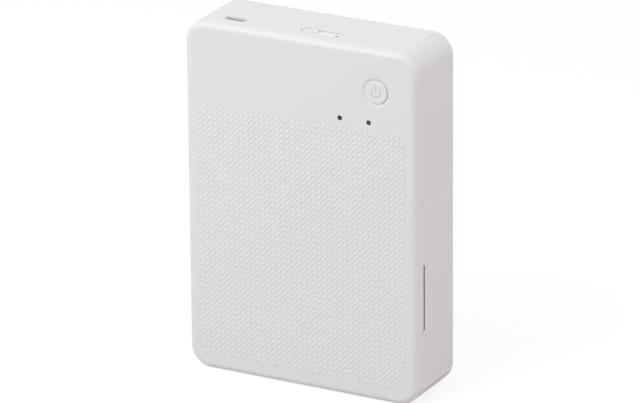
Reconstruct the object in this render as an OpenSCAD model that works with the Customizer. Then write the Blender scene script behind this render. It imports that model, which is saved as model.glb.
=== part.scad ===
// Compact photo printer, standing upright on its narrow end.
// Millimetres. +X right and +Z up as seen from the front, -Y towards the viewer.
// The origin is the middle of the underside.

/* [Casing] */
// Width of the casing
body_w = 102.2; // [98:0.1:110]
// Height of the casing
body_h = 145.8; // [144:0.1:156]
// Depth of the casing from the front face to the back face
shell_d = 32.05; // [31.6:0.05:36]
// Radius of the four upright corners, seen from the front
corner_r = 9; // [8:0.1:10]
// Rounding between the front face and the sides
front_r = 2.7; // [1.8:0.1:3.2]
// Rounding between the back face and the sides
back_r = 1.8; // [1:0.1:1.8]
// Thickness of the moulded walls
wall = 1.6; // [1.4:0.05:1.8]
// Gap between neighbouring covers
seam = 0.4; // [0.3:0.05:0.5]
// Thickness of the back rim, behind the edge of the front shell
rim_t = 1.85; // [1.8:0.05:2.2]

/* [Rear cover] */
// Lower edge of the cover above the underside
cover_z0 = 7.4; // [7:0.1:9]
// Height of the cover's side panel beyond the sheets, above and below them
panel_edge = 1.25; // [0.8:0.05:2]
// Depth of the front shell's band beside the side panel
band_d = 3.35; // [2.8:0.05:4]
// Distance from the front face to the seam across the top
top_seam = 17.7; // [17:0.1:19]
// Left end of the cover's top strip
strip_x0 = -31; // [-34:0.1:-28]
// Right end of the cover's top strip, at the front seam
strip_x1 = 43; // [41:0.1:44]
// Radius of the hinge barrel
barrel_r = 2; // [1.8:0.05:2.1]
// Radius of the hinge pins
pin_r = 1; // [0.8:0.05:1.1]
// Length of each hinge pin
pin_len = 11; // [8:0.5:14]
// Length of the finger notch in the side panel
notch_len = 27.5; // [20:0.5:34]
// Depth of the notch along the side, from the panel's front edge
notch_w = 2.05; // [1.5:0.05:3]
// Width of the slit at the back of the notch
slit_w = 0.6; // [0.4:0.05:0.9]
// Radius of the round feet on the back
foot_r = 4; // [3:0.1:5]
// Thickness of the feet
foot_t = 0.6; // [0.4:0.05:1]

/* [Controls] */
// Place of the power button across the front
button_x = 33.4; // [31:0.1:34]
// Distance of the power button below the top
button_drop = 17.2; // [15:0.1:20]
// Radius of the power button's cap
button_r = 4.8; // [4:0.1:5.2]
// Width of the round dish about the cap
dish_w = 1.3; // [0.8:0.05:1.6]
// Depth of the round dish, at the cap
dish_depth = 0.45; // [0.3:0.05:0.8]
// How far the cap's crown stands out of the front face
crown = 0.25; // [0.2:0.05:0.4]
// Travel of the power button
press = 0.35; // [0.2:0.05:0.5]
// Distance of the two indicator windows below the top
lamp_drop = 30.1; // [27:0.1:33]
// Place of the left indicator across the front
lamp_x = 17.5; // [14:0.1:20]
// Distance between the indicators
lamp_pitch = 12.6; // [10:0.1:14]
// Radius of an indicator window
lamp_r = 1; // [0.8:0.05:1.2]
// Middle of the socket opening across the top
usb_x = -32.65; // [-34:0.05:-31]
// Left end of the lock's recess in the top
lock_x0 = -4.2; // [-6:0.1:-3]
// Length of the lock's recess
lock_len = 18.4; // [17:0.1:20]
// Width of the lock's recess
lock_w = 6; // [5:0.1:6.6]
// Middle of the lock's recess, behind the front face
lock_back = 10; // [9.6:0.1:10.4]
// Travel of the lock
lock_travel = 7; // [6:0.1:8]

/* [Print path] */
// Depth of the loop that a sheet takes from the stack to the print head
loop_d = 13.4; // [13.2:0.05:13.5]
// Width of a sheet of print paper
sheet_w = 72; // [68:0.5:72.5]
// Thickness of the stack of sheets
stack_t = 2.2; // [1.5:0.1:2.3]
// Radius of the platen's rubber
platen_r = 4.05; // [3.6:0.05:4.2]
// Radius of the feed roller and of the pinch roller
feed_r = 2.25; // [1.9:0.05:2.4]
// Radius of the pickup tyres
tyre_r = 4.4; // [4:0.05:4.6]
// Radius of the wound ribbon
roll_r = 3.6; // [3:0.05:3.9]
// Inner radius of the cassette's tubes
tube_r = 4.3; // [4.2:0.05:4.5]
// Wall of the cassette
tube_wall = 0.9; // [0.7:0.05:1]
// Radius of the roller shafts
shaft_r = 1.5; // [1.2:0.05:1.6]
// Turn of the print head from lifted to pressed
head_swing = 2; // [1:0.1:2]

/* [Drive] */
// Gear module
gear_m = 0.5; // [0.48:0.01:0.5]
// Thickness of a gear
gear_t = 2.7; // [2:0.1:2.8]
// Radius of the drive motor
motor_r = 7.5; // [6:0.1:8]
// Length of the drive motor
motor_len = 22; // [16:0.5:26]
// Thickness of the metal frame's plates
sheet_t = 1; // [0.8:0.05:1.1]

/* [Electronics] */
// Thickness of the main board
board_t = 1; // [0.8:0.05:1.2]
// Space in front of the battery for the board's components
part_room = 4.1; // [3.4:0.1:5]

/* [Hidden] */
$fn = 64;
cut = 1;
running = 0.04;
loose = 0.3;
seated = 0.02;

// Colours that several sub-parts share
casing_white = [0.9, 0.9, 0.89];
steel_grey = [0.75, 0.76, 0.78];
sheet_grey = [0.7, 0.71, 0.72];
resin_white = [0.92, 0.92, 0.88];
polymer_grey = [0.32, 0.33, 0.35];

// Depth positions of the casing
total_d = crown + shell_d + foot_t;
front_y = -total_d / 2 + crown;
back_y = front_y + shell_d;
split_y = back_y - rim_t;
inner_front = front_y + wall;
inner_back = back_y - wall;
half_w = body_w / 2;
inner_x = half_w - wall;
roof_z = body_h - wall;
corner_x = half_w - corner_r;

// Rear cover
hinge_inset = 5.1;
hinge_x = hinge_inset - half_w;
hinge_y = back_y - barrel_r - 0.15;
rim_x = hinge_x - (back_y - hinge_y) - seam;
top_y = front_y + top_seam;
panel_y = front_y + band_d + seam;
corner_top = body_h - corner_r;
strip_arc = norm([strip_x1 - hinge_x, top_y - hinge_y]);
barrel_z0 = cover_z0;
barrel_z1 = corner_top;
// Height at which an ear beside the hinge clears the casing's rounded corner
ear_z = corner_r + loose - sqrt(pow(corner_r - wall, 2) - pow(barrel_r + corner_r - hinge_inset, 2));
bay_mid = cover_z0 + panel_edge + sheet_w / 2;
panel_top = bay_mid + sheet_w / 2 + panel_edge;
notch_z = bay_mid - notch_len / 2;
notch_depth = 0.5;
foot_x = 36;
foot_z = [20, 122];

// Paper and ribbon
sheet_z0 = bay_mid - sheet_w / 2;
bay_edge = 3;
bay_z0 = sheet_z0 - bay_edge;
bay_z1 = sheet_z0 + sheet_w + bay_edge;
stack_y = back_y - 6.45;
path_y = stack_y - loop_d;
stack_x0 = hinge_x + 6.5;
stack_x1 = inner_x - 4;
feed_x = hinge_x + 22;
platen_x = feed_x + 34;
platen_at = [platen_x, path_y - 0.15 - platen_r];
feed_at = [feed_x, path_y - 0.15 - feed_r];
pinch_at = [feed_x, path_y + 0.15 + feed_r];
spool_y = (path_y + stack_y) / 2 + 0.3;
supply_at = [platen_x + 23, spool_y];
turn_r = (stack_y - path_y) / 2;
turn_at = [stack_x0 - 0.5, (stack_y + path_y) / 2];
exit_y = front_y + band_d + seam / 2;
pivot_at = [platen_x + 11.5, path_y + 6.5];

// Gear train: tooth counts and places
z_platen = 20;
z_idler = 18;
z_take = 28;
z_feed = 28;
z_pick = 24;
z_small = 14;
z_big = 24;
z_pinion = 10;
function apart(za, zb) = (za + zb) * gear_m / 2 + 0.05;
function polar(r, a) = [r * cos(a), r * sin(a)];
function bearing(a, b) = atan2(b.y - a.y, b.x - a.x);
// Place at given distances from two points, on the right of the line from a to b
function meet(a, ra, b, rb) =
    let (d = norm(b - a), u = (b - a) / d, k = (ra * ra - rb * rb + d * d) / (2 * d))
    a + k * u + sqrt(ra * ra - k * k) * [u.y, -u.x];
take_at = let (dy = spool_y - feed_at.y, d = apart(z_feed, z_take)) feed_at + [sqrt(d * d - dy * dy), dy];
pick_y = stack_y - loose - tyre_r;
pick_at = let (dy = pick_y - feed_at.y, d = apart(z_feed, z_pick)) feed_at + [-sqrt(d * d - dy * dy), dy];
idler_a_at = take_at + polar(apart(z_take, z_idler), -10);
idler_b_at = meet(idler_a_at, apart(z_idler, z_idler), platen_at, apart(z_idler, z_platen));
reduction_at = feed_at + polar(apart(z_feed, z_small), 183);
motor_at = reduction_at + polar(apart(z_big, z_pinion), 120);
// Turn of the second gear's first tooth so that it meshes with the first gear
function meshed(a, za, pa, b, zb) = let (f = bearing(a, b)) f + 180 + (f - pa) * za / zb + 180 / zb;
turn_platen = 0;
turn_idler_b = meshed(platen_at, z_platen, turn_platen, idler_b_at, z_idler);
turn_idler_a = meshed(idler_b_at, z_idler, turn_idler_b, idler_a_at, z_idler);
turn_take = meshed(idler_a_at, z_idler, turn_idler_a, take_at, z_take);
turn_feed = meshed(take_at, z_take, turn_take, feed_at, z_feed);
turn_pick = meshed(feed_at, z_feed, turn_feed, pick_at, z_pick);
turn_small = meshed(feed_at, z_feed, turn_feed, reduction_at, z_small);
turn_pinion = meshed(reduction_at, z_big, turn_small, motor_at, z_pinion);

// Radii of the small shafts
motor_shaft_r = 0.75;
pivot_r = 1.25;
axle_r = 1.25;
stud_r = 1;
drum_w = sheet_w + 1;

// Heights of the metal frame and the gears
floor_plate = bay_z0 - sheet_t;
gear_z0 = bay_z1 + sheet_t + 0.4;
gear_z1 = gear_z0 + gear_t + 0.3;
deck_z = gear_z1 + gear_t + 0.6;
upper_z = deck_z + sheet_t;
frame_x0 = hinge_x - 1;
frame_x1 = half_w - 7.1;
frame_y0 = inner_front + loose;
frame_y1 = stack_y - 1.2;

// Electronics
board_y = front_y + 6.2;
board_back = board_y + board_t;
board_x = half_w - 7.1;
board_z0 = upper_z + 1.4;
board_z1 = roof_z - 3.2;
board_h = board_z1 - board_z0;
usb_y = board_back + 1.6;
usb_len = 8.94;
usb_w = 3.16;
usb_wall = 0.3;
switch_t = 1.5;
stem_y = board_y - switch_t - 2 * press;
cap_gap = 0.1;
flange_w = 1.1;
flange_t = 0.8;
boss_r = 2.6;
screw_r = 1;
post_low = upper_z + 5.65;
post_x = half_w - 10.6;
posts = [[-half_w + 15.1, body_h - 15.8], [post_x, body_h - 8.8], [post_x, post_low],
    [-half_w + 26.1, post_low]];
button_z = body_h - button_drop;
lamp_z = body_h - lamp_drop;
frame_back = back_y - 5.65;
frame_t = 1.2;
frame_top = body_h - 7.6;
lock_y = front_y + lock_back;
lock_skin = 0.8;
lock_top = body_h - lock_skin - 0.15;
lock_plate_x0 = lock_x0 - 8.3;
lock_plate_t = 1.2;
lock_plate_w = 8.2;
arm_x0 = lock_x0 + 23.7;
arm_w = 4;
catch_x0 = arm_x0 + lock_travel - 0.5;
catch_z0 = roof_z - 5.2;
catch_y0 = top_y - 4.7;

module at(p) { translate([p.x, p.y, 0]) children(); }
module rod(p, r, z0, z1) { translate([p.x, p.y, z0]) cylinder(r = r, h = z1 - z0); }
module along_y(x, z, y0, y1) { translate([x, y0, z]) rotate([-90, 0, 0]) linear_extrude(y1 - y0) children(); }
module along_x(x0, x1) { translate([x0, 0, 0]) rotate([90, 0, 90]) linear_extrude(x1 - x0) children(); }
module box(lo, hi) { translate(lo) cube(hi - lo); }
module slot2d(len, w) {
    translate([-(len - w) / 2, -w / 2]) square([len - w, w]);
    for (s = [-1, 1]) translate([s * (len - w) / 2, 0]) circle(d = w);
}
module rounded2d(w, d, r) {
    translate([r - w / 2, -d / 2]) square([w - 2 * r, d]);
    translate([-w / 2, r - d / 2]) square([w, d - 2 * r]);
    for (x = [-1, 1], y = [-1, 1]) translate([x * (w / 2 - r), y * (d / 2 - r)]) circle(r);
}

// Carries a wall section round the rounded outline: the section's x runs outwards and its y runs back
module round_outline() {
    for (c = [[1, 1, -90], [-1, 1, 180], [1, -1, 0], [-1, -1, 90]])
        translate([c.x * corner_x, 0, body_h / 2 + c.y * (body_h / 2 - corner_r)])
            rotate([-90, 0, 0]) rotate([0, 0, c.z]) rotate_extrude(angle = 90) children();
    for (s = [0, 1]) mirror([s, 0, 0])
        translate([corner_x, 0, corner_r]) linear_extrude(body_h - 2 * corner_r) children();
    for (s = [0, 1]) translate([0, 0, body_h / 2]) mirror([0, 0, s])
        translate([corner_x, 0, body_h / 2 - corner_r]) rotate([0, -90, 0])
            linear_extrude(2 * corner_x) children();
}
module edge_cut(x, y, r, sy) {
    difference() {
        translate([x - r, sy > 0 ? y - r : y - cut]) square([r + cut, r + cut]);
        translate([x - r, y - sy * r]) circle(r);
    }
}
module front_section() {
    difference() {
        translate([0, front_y]) square([corner_r, split_y - front_y]);
        translate([-cut, inner_front]) square([corner_r - wall + cut, shell_d]);
        edge_cut(corner_r, front_y, front_r, -1);
    }
}
module back_section(y0, skin) {
    difference() {
        translate([0, y0]) square([corner_r, back_y - y0]);
        translate([-cut, y0 - cut]) square([corner_r - wall + cut, back_y - skin - y0 + cut]);
        edge_cut(corner_r, back_y, back_r, 1);
    }
}
module middle_slab(y0, y1) { box([-corner_x, y0, corner_r], [corner_x, y1, body_h - corner_r]); }

module front_shell() {
    color(casing_white) difference() {
        union() {
            round_outline() front_section();
            middle_slab(front_y, inner_front);
            for (p = posts) along_y(p.x, p.y, inner_front - 0.2, board_y) circle(boss_r);
        }
        for (p = posts) along_y(p.x, p.y, inner_front + 0.4, board_y + cut) circle(screw_r);
        box([corner_x, panel_y - seam, cover_z0 - seam], [half_w + cut, split_y + cut, panel_top + seam]);
        intersection() {
            box([strip_x0 - seam, top_y - seam, roof_z - 2], [half_w, split_y + cut, body_h + cut]);
            rod([hinge_x, hinge_y], strip_arc + seam, 50, body_h + 2 * cut);
        }
        along_y(button_x, button_z, front_y - cut, inner_front + cut) circle(button_r + cap_gap);
        translate([button_x, front_y, button_z]) rotate([-90, 0, 0])
            translate([0, 0, -0.01])
                cylinder(r1 = button_r + dish_w, r2 = button_r + cap_gap, h = dish_depth);
        for (k = [0, 1])
            along_y(lamp_x + k * lamp_pitch, lamp_z, front_y - cut, inner_front + cut) circle(lamp_r);
        translate([usb_x, usb_y, roof_z - cut]) linear_extrude(wall + 2 * cut)
            slot2d(usb_len + 0.66, usb_w + 0.64);
        translate([lock_x0 + lock_len / 2, lock_y, roof_z - cut]) linear_extrude(wall + 2 * cut)
            slot2d(lock_len, lock_w);
        box([lock_plate_x0 - 0.5, lock_y - lock_plate_w / 2 - loose, roof_z - cut],
            [arm_x0 + arm_w + lock_travel + 1, lock_y + lock_plate_w / 2 + loose, body_h - lock_skin]);
    }
}

module back_rim() {
    color(casing_white) difference() {
        union() {
            difference() {
                union() {
                    round_outline() back_section(split_y, rim_t);
                    middle_slab(split_y, back_y);
                }
                box([rim_x, split_y - cut, cover_z0 - seam], [half_w + cut, back_y + cut, panel_top + seam]);
                intersection() {
                    box([rim_x, split_y - cut, 60], [half_w, back_y + cut, body_h + cut]);
                    rod([hinge_x, hinge_y], strip_arc + seam, 50, body_h + 2 * cut);
                    union() {
                        box([rim_x, 0, 60], [half_w, back_y + cut, corner_top + seam]);
                        box([strip_x0 - seam, 0, 60], [half_w, back_y + cut, body_h + cut]);
                    }
                }
            }
            rod([hinge_x, hinge_y], barrel_r, ear_z, barrel_z0 - seam);
            rod([hinge_x, hinge_y], barrel_r, barrel_z1 + seam, body_h - ear_z);
        }
        rod([hinge_x, hinge_y], pin_r, ear_z + loose, barrel_z0);
        rod([hinge_x, hinge_y], pin_r, barrel_z1, body_h - ear_z - loose);
    }
}

module rear_cover() {
    color(casing_white) difference() {
        union() {
            intersection() {
                union() {
                    round_outline() back_section(panel_y, wall);
                    middle_slab(inner_back, back_y);
                }
                union() {
                    box([hinge_x, panel_y - cut, cover_z0], [half_w + cut, back_y + cut, panel_top]);
                    intersection() {
                        box([strip_x0, top_y, 60], [half_w + cut, back_y + cut, body_h + cut]);
                        rod([hinge_x, hinge_y], strip_arc, 50, body_h + 2 * cut);
                    }
                    box([hinge_x, inner_back - cut, 60], [strip_x0 + cut, back_y + cut, corner_top]);
                }
            }
            rod([hinge_x, hinge_y], barrel_r, barrel_z0, barrel_z1);
            box([catch_x0 + 7, top_y + 0.5, catch_z0], [catch_x0 + 9, top_y + 2.5, roof_z + 0.2]);
            box([catch_x0 + 7, catch_y0, catch_z0], [catch_x0 + 9, top_y + 2.5, catch_z0 + 2]);
            box([catch_x0, catch_y0, catch_z0], [catch_x0 + 9, catch_y0 + 1.5, catch_z0 + 2]);
        }
        rod([hinge_x, hinge_y], pin_r + running, barrel_z0 - cut, ear_z + 2 * loose + pin_len);
        rod([hinge_x, hinge_y], pin_r + running, body_h - ear_z - 2 * loose - pin_len, barrel_z1 + cut);
        along_x(half_w - notch_depth, half_w + cut) polygon([
            [panel_y - cut, notch_z - notch_w - cut], [panel_y + notch_w, notch_z],
            [panel_y + notch_w, notch_z + notch_len], [panel_y - cut, notch_z + notch_len]]);
        box([inner_x - cut, panel_y + notch_w - 0.01, notch_z + 0.4],
            [half_w + cut, panel_y + notch_w + slit_w, notch_z + notch_len]);
    }
}

module rubber_feet() {
    color([0.72, 0.72, 0.72]) for (x = [-foot_x, foot_x - 2], z = foot_z)
        along_y(x, z, back_y, back_y + foot_t) circle(foot_r);
}

module hinge_pins() {
    color(steel_grey) {
        rod([hinge_x, hinge_y], pin_r, ear_z + loose, ear_z + loose + pin_len);
        rod([hinge_x, hinge_y], pin_r, body_h - ear_z - loose - pin_len, body_h - ear_z - loose);
    }
}

module inner_frame() {
    color(polymer_grey) difference() {
        union() {
            box([hinge_x + 3.2, frame_back - frame_t, upper_z + 0.4],
                [inner_x - loose, frame_back, frame_top]);
            box([hinge_x + 3.2, board_back + 3, frame_top - frame_t], [usb_x - 8, frame_back, frame_top]);
            for (p = posts) along_y(p.x, p.y, board_back, frame_back) circle(2.2);
            for (x = [-12, 4, 20])
                box([x, frame_back - 0.1, upper_z + 6], [x + frame_t, frame_back + 0.8, frame_top - 8]);
        }
        for (p = posts) along_y(p.x, p.y, board_back - cut, frame_back + cut) circle(screw_r + 0.1);
        for (k = [0:2]) translate([hinge_x + 10 + 4 * k, 0, 0])
            box([0, frame_back - 2, upper_z + 14], [2, frame_back + cut, frame_top - 12]);
    }
}

module frame_screws() {
    color([0.62, 0.63, 0.65]) for (p = posts) difference() {
        union() {
            along_y(p.x, p.y, inner_front + 1, frame_back + 0.1) circle(screw_r);
            along_y(p.x, p.y, frame_back, frame_back + 1) circle(1.9);
        }
        for (a = [0, 90]) translate([p.x, frame_back + 1, p.y]) rotate([0, a, 0])
            box([-1.2, -0.6, -0.25], [1.2, cut, 0.25]);
    }
}

module cover_lock() {
    knob_x = lock_x0 + 0.6;
    color([0.86, 0.86, 0.85]) {
        difference() {
            box([lock_plate_x0, lock_y - lock_plate_w / 2, lock_top - lock_plate_t],
                [arm_x0 + arm_w, lock_y + lock_plate_w / 2, lock_top]);
            box([lock_x0 + 15.4, lock_y - 2.9, lock_top - 2], [lock_x0 + 18.4, lock_y - 2.1, lock_top + cut]);
        }
        box([arm_x0, lock_y - 1.5, lock_top - lock_plate_t - 1],
            [arm_x0 + arm_w, top_y - 1.1, lock_top - lock_plate_t]);
        box([arm_x0, catch_y0 + 1.8, catch_z0 - 0.2], [arm_x0 + arm_w, top_y - 1.1, lock_top - lock_plate_t]);
        difference() {
            translate([knob_x + 3.1, lock_y, lock_top - 0.1]) linear_extrude(body_h - lock_top)
                rounded2d(6.2, lock_w - 0.8, 2.55);
            for (k = [0:3]) box([knob_x + 1.2 + k * 1.15, lock_y - lock_w, body_h - 0.5],
                [knob_x + 1.65 + k * 1.15, lock_y + lock_w, body_h + cut]);
        }
    }
}

module lock_bracket() {
    low = lock_top - lock_plate_t - 0.9;
    color(polymer_grey) {
        box([lock_plate_x0 - 2.2, lock_y - 6, low - 0.8], [arm_x0 - 4, lock_y + lock_plate_w / 2, low + 0.6]);
        box([lock_plate_x0 - 2.2, lock_y - 6, low], [lock_plate_x0 - 0.8, lock_y + lock_plate_w / 2, roof_z]);
        box([lock_plate_x0 - 2.2, lock_y - 6, low], [arm_x0 - 4, lock_y - 4.7, roof_z]);
    }
}

module power_button() {
    color([0.89, 0.89, 0.88]) {
        translate([button_x, front_y, button_z]) rotate([90, 0, 0])
            cylinder(r1 = button_r, r2 = button_r - 0.7, h = crown);
        along_y(button_x, button_z, front_y, inner_front + loose) circle(button_r);
        along_y(button_x, button_z, inner_front + loose, inner_front + loose + flange_t)
            circle(button_r + flange_w);
        along_y(button_x, button_z, inner_front + loose + flange_t, stem_y) circle(1.5);
    }
}
plunger_r = 0.8;
module switch_plunger() {
    color([0.2, 0.2, 0.2]) along_y(button_x, button_z, stem_y, board_y - 1) circle(plunger_r);
}
module button_switch() {
    color(steel_grey) difference() {
        box([button_x - 2.6, board_y - switch_t, button_z - 2.6], [button_x + 2.6, board_y, button_z + 2.6]);
        along_y(button_x, button_z, board_y - 2, board_y - 0.4) circle(plunger_r + running);
    }
}
module light_pipes() {
    color([0.08, 0.08, 0.08]) for (k = [0, 1]) {
        along_y(lamp_x + k * lamp_pitch, lamp_z, front_y + 0.05, board_y - 1) circle(lamp_r - seated);
        along_y(lamp_x + k * lamp_pitch, lamp_z, inner_front, inner_front + 0.8) circle(lamp_r + 0.6);
    }
}
module indicator_lamps() {
    color([0.95, 0.9, 0.6]) for (k = [0, 1])
        box([lamp_x + k * lamp_pitch - 0.8, board_y - 0.8, lamp_z - 0.5],
            [lamp_x + k * lamp_pitch + 0.8, board_y, lamp_z + 0.5]);
}
module main_board() {
    color([0.1, 0.35, 0.22]) difference() {
        box([-board_x, board_y, board_z0], [board_x, board_back, board_z1]);
        for (p = posts) along_y(p.x, p.y, board_y - cut, board_back + cut) circle(screw_r + 0.1);
    }
}
module usb_socket() {
    color([0.7, 0.71, 0.73]) translate([usb_x, usb_y, 0]) {
        difference() {
            translate([0, 0, body_h - 8.2]) linear_extrude(7.4) slot2d(usb_len, usb_w);
            translate([0, 0, body_h - 7.2]) linear_extrude(7.4)
                slot2d(usb_len - 2 * usb_wall, usb_w - 2 * usb_wall);
        }
        translate([-3.3, -0.35, body_h - 7.4]) cube([6.6, 0.7, 5.6]);
        translate([-2.9, board_back - usb_y, body_h - 8.2]) cube([5.8, 0.4, 3.6]);
    }
}
module board_shield() {
    color(steel_grey) box([2, board_back, board_z0 + 0.3 * board_h],
        [30, board_back + 1.8, board_z0 + 0.7 * board_h]);
}
module radio_module() {
    color([0.15, 0.4, 0.3]) box([-16, board_back, board_z1 - 16], [-2, board_back + 1.8, board_z1 - 2]);
}
module board_connectors() {
    color([0.88, 0.86, 0.78]) {
        box([platen_x - 5, board_back, upper_z + 3], [platen_x + 5, board_back + 2.4, upper_z + 6]);
        for (x = [hinge_x + 16, hinge_x + 24])
            translate([x, board_back, board_z0 + 0.4 * board_h]) cube([6, 3, 5]);
    }
}
module battery_pack() {
    front = board_back + part_room;
    depth = frame_back - frame_t - 2.9 - front;
    left = motor_at.x + motor_r + 11.8;
    right = post_x - 6;
    color([0.2, 0.24, 0.3]) translate([(left + right) / 2, front + depth / 2, upper_z])
        linear_extrude(frame_top - 1.85 - upper_z) rounded2d(right - left, depth, 1.5);
}
module head_cable() {
    t = 0.3;
    back = path_y + 2.2;
    x = platen_x - 4;
    color([0.85, 0.8, 0.65]) {
        box([x, path_y + 7.4, bay_z1 - 1.6], [x + 8, path_y + 7.4 + t, upper_z - 1.6]);
        box([x, back - 5, upper_z - 1.9], [x + 8, path_y + 7.4 + t, upper_z - 1.6]);
    }
}

// A plate of the metal frame with its shaft holes
module side_plate(z) {
    difference() {
        box([frame_x0, frame_y0, z], [frame_x1, frame_y1, z + sheet_t]);
        for (p = [platen_at, feed_at, pinch_at, pick_at]) rod(p, shaft_r + 1, z - cut, z + sheet_t + cut);
        rod(pivot_at, pivot_r, z - cut, z + sheet_t + cut);
        rod(take_at, axle_r + running, z - cut, z + sheet_t + cut);
        box([platen_x - 4.5, path_y + 7.1, z - cut], [platen_x + 4.5, path_y + 8, z + sheet_t + cut]);
    }
}
module chassis() {
    color(sheet_grey) {
        side_plate(floor_plate);
        side_plate(bay_z1);
        difference() {
            box([frame_x0 + 8, frame_y0, floor_plate + 0.5],
                [frame_x1 - 14, frame_y0 + sheet_t, bay_z1 + 0.5]);
            for (x = [feed_x - 8, platen_x - 18])
                box([x, frame_y0 - cut, bay_z0 + 12], [x + 18, frame_y0 + 2 * cut, bay_z1 - 12]);
        }
    }
}
module shaft_bushes() {
    collar = 0.6;
    color([0.78, 0.66, 0.4]) for (p = [platen_at, feed_at, pinch_at, pick_at], z = [floor_plate, bay_z1])
        difference() {
            union() {
                rod(p, shaft_r + 1, z, z + sheet_t);
                rod(p, shaft_r + 1.4, z == bay_z1 ? z - collar : z + sheet_t,
                    z == bay_z1 ? z : z + sheet_t + collar);
            }
            rod(p, shaft_r + running, z - cut, z + sheet_t + cut);
        }
}
module gear_studs() {
    color(steel_grey) {
        for (p = [idler_a_at, idler_b_at, reduction_at]) rod(p, stud_r, bay_z1 + sheet_t, deck_z);
        for (p = [[frame_x1 - 6, frame_y0 + 5.3], [frame_x1 - 6, frame_y1 - 2.2],
                [frame_x0 + 3, frame_y0 + 3.3]]) rod(p, 2, bay_z1 + sheet_t, deck_z);
    }
}
module gear_plate() {
    color(sheet_grey) difference() {
        box([frame_x0, frame_y0 + 1.4, deck_z], [frame_x1, frame_y1 + 0.4, upper_z]);
        rod(motor_at, 1.6, deck_z - cut, upper_z + cut);
    }
}
module drive_motor() {
    color([0.66, 0.67, 0.69]) difference() {
        union() {
            rod(motor_at, motor_r, upper_z, upper_z + motor_len);
            rod(motor_at, 2.2, upper_z + motor_len - 0.1, upper_z + motor_len + 1.2);
        }
        rod(motor_at, motor_shaft_r + running, upper_z - cut, upper_z + motor_len - 2);
    }
}
module motor_shaft() {
    color(steel_grey) rod(motor_at, motor_shaft_r, gear_z1, upper_z + motor_len - 3);
}

// A spur gear with straight flanks and a little backlash
function tooth(r, a, half) = polar(r, a + half / r * 180 / PI);
module spur(p, teeth, turn, z0, bore) {
    rp = teeth * gear_m / 2;
    tip = rp + 0.85 * gear_m;
    root = rp - 1.2 * gear_m;
    flank = tan(20);
    mid = gear_m * PI / 4 - 0.1;
    lo = mid + (rp - root) * flank * 0.85;
    hi = mid - (tip - rp) * flank;
    translate([p.x, p.y, z0]) difference() {
        linear_extrude(gear_t) polygon([for (i = [0:teeth - 1]) let (a = turn + i * 360 / teeth)
            each [tooth(root, a, -lo), tooth(tip, a, -hi), tooth(tip, a, hi), tooth(root, a, lo)]]);
        translate([0, 0, -cut]) cylinder(r = bore, h = gear_t + 2 * cut);
    }
}
module motor_pinion() {
    color([0.85, 0.75, 0.5]) spur(motor_at, z_pinion, turn_pinion, gear_z1, motor_shaft_r);
}
module reduction_gear() {
    color(resin_white) {
        spur(reduction_at, z_small, turn_small, gear_z0, stud_r + running);
        spur(reduction_at, z_big, turn_small, gear_z1, stud_r + running);
        difference() {
            rod(reduction_at, 2.2, gear_z0 + gear_t - 0.2, gear_z1 + 0.2);
            rod(reduction_at, stud_r + running, gear_z0, gear_z1 + cut);
        }
    }
}
module idler_gear_a() {
    color(resin_white) spur(idler_a_at, z_idler, turn_idler_a, gear_z0, stud_r + running);
}
module idler_gear_b() {
    color(resin_white) spur(idler_b_at, z_idler, turn_idler_b, gear_z0, stud_r + running);
}

module platen_shaft() { color(steel_grey) rod(platen_at, shaft_r, floor_plate - 0.6, gear_z0 + gear_t); }
module platen_rubber() {
    color([0.16, 0.16, 0.17]) difference() {
        rod(platen_at, platen_r, bay_mid - drum_w / 2, bay_mid + drum_w / 2);
        rod(platen_at, shaft_r, sheet_z0 - cut, sheet_z0 + sheet_w + cut);
    }
}
module platen_gear() { color(resin_white) spur(platen_at, z_platen, turn_platen, gear_z0, shaft_r); }
module feed_roller() {
    color([0.72, 0.73, 0.75]) {
        rod(feed_at, feed_r, sheet_z0 - 1, sheet_z0 + sheet_w + 1);
        rod(feed_at, shaft_r, floor_plate - 0.6, gear_z0 + gear_t);
    }
}
module feed_gear() { color(resin_white) spur(feed_at, z_feed, turn_feed, gear_z0, shaft_r); }
module pinch_roller() {
    color([0.3, 0.3, 0.32]) {
        rod(pinch_at, feed_r, bay_mid - drum_w / 2, bay_mid + drum_w / 2);
        rod(pinch_at, shaft_r, floor_plate, bay_z1 + sheet_t - 0.1);
    }
}
module pickup_shaft() { color(steel_grey) rod(pick_at, shaft_r, floor_plate - 0.6, gear_z0 + gear_t); }
module pickup_tyres() {
    color([0.2, 0.2, 0.22]) for (k = [-1, 1]) difference() {
        rod(pick_at, tyre_r, bay_mid + k * 12 - 5, bay_mid + k * 12 + 5);
        rod(pick_at, shaft_r, bay_mid + k * 12 - 6, bay_mid + k * 12 + 6);
    }
}
module pickup_gear() { color(resin_white) spur(pick_at, z_pick, turn_pick, gear_z0, shaft_r); }

// Ribbon cassette: two tubes, end plates and the spools inside
case_z0 = bay_z0 + loose;
case_z1 = bay_z1 - loose;
plate_t = 1.4;
core_r = 2.6;
hub_r = 1.9;
module spool(p, top_bore) {
    difference() {
        union() {
            rod(p, core_r, case_z0 + plate_t + loose, case_z1 - plate_t - loose);
            rod(p, hub_r, case_z0, case_z1);
        }
        if (top_bore) rod(p, axle_r, case_z1 - 4, case_z1 + cut);
        rod(p, 1.2, case_z0 - cut, case_z0 + 4);
    }
}
module wound(p) {
    difference() {
        rod(p, roll_r, sheet_z0 - 0.8, sheet_z0 + sheet_w + 0.8);
        rod(p, core_r, sheet_z0 - 2, sheet_z0 + sheet_w + 2);
    }
}
module take_up_spool() { color([0.9, 0.9, 0.86]) spool(take_at, true); }
module take_up_ribbon() { color([0.12, 0.12, 0.2]) wound(take_at); }
module take_up_gear() {
    color(resin_white) {
        spur(take_at, z_take, turn_take, gear_z0, 1);
        rod(take_at, axle_r, case_z1 - 3.5, gear_z0 + gear_t);
    }
}
module supply_spool() { color([0.9, 0.9, 0.86]) spool(supply_at, false); }
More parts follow.
